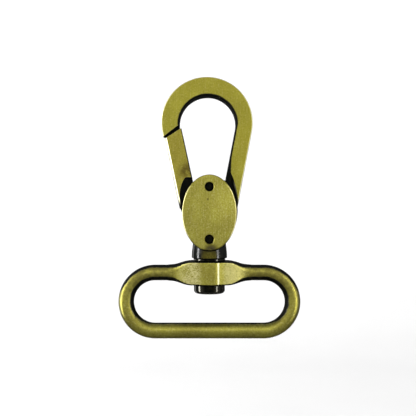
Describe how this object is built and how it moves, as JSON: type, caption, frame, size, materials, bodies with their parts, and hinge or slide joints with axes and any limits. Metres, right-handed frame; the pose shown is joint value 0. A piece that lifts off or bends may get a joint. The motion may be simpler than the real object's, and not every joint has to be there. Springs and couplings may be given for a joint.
{
  "type": "swivel snap hook",
  "caption": "Swivel snap hook with a sprung side gate, oval cover plates and an oval strap ring, in aged brass finish.",
  "frame": {"origin": "under the swivel axis, at the strap ring's lowest point", "axes": "+Z along the swivel axis towards the hook's eye, +X to the right seen from the front, -Y out of the front cover plate, the gate on the -X side"},
  "size_m": [0.0458, 0.0106, 0.0656],
  "materials": {
    "hook_casting": "zinc die casting plated aged brass, brushed faces, blackened recesses",
    "cover_plate": "plated aged brass, brushed along its length, polished rim",
    "ring_casting": "zinc die casting plated aged brass, relieved high spots",
    "dark_steel": "steel under a near-black aged patina",
    "spring_wire": "bright spring wire"
  },
  "bodies": {
    "hook": {"hook_body": "hook_casting", "front_cover_plate": "cover_plate", "back_cover_plate": "cover_plate", "gate_pivot_rivet": "dark_steel", "lower_rivet": "dark_steel", "gate_spring": "spring_wire", "swivel_stud": "dark_steel"},
    "gate": {"gate": "hook_casting"},
    "washer": {"swivel_washer": "dark_steel"},
    "ring": {"strap_ring": "ring_casting"}
  },
  "joints": [
    {"name": "gate_pivot", "type": "hinge", "parent": "hook", "child": "gate", "pos_m": [0, 0, 0.03816], "axis": [0, 1, 0], "range_deg": [0, 40], "stiffness_Nm_per_rad": 0.05, "springref_deg": -34.38, "deforming": ["gate_spring"]},
    {"name": "washer_spin", "type": "hinge", "parent": "hook", "child": "washer", "pos_m": [0, 0, 0.01991], "axis": [0, 0, 1], "continuous": true},
    {"name": "ring_swivel", "type": "hinge", "parent": "hook", "child": "ring", "pos_m": [0, 0, 0.01661], "axis": [0, 0, 1], "continuous": true}
  ]
}
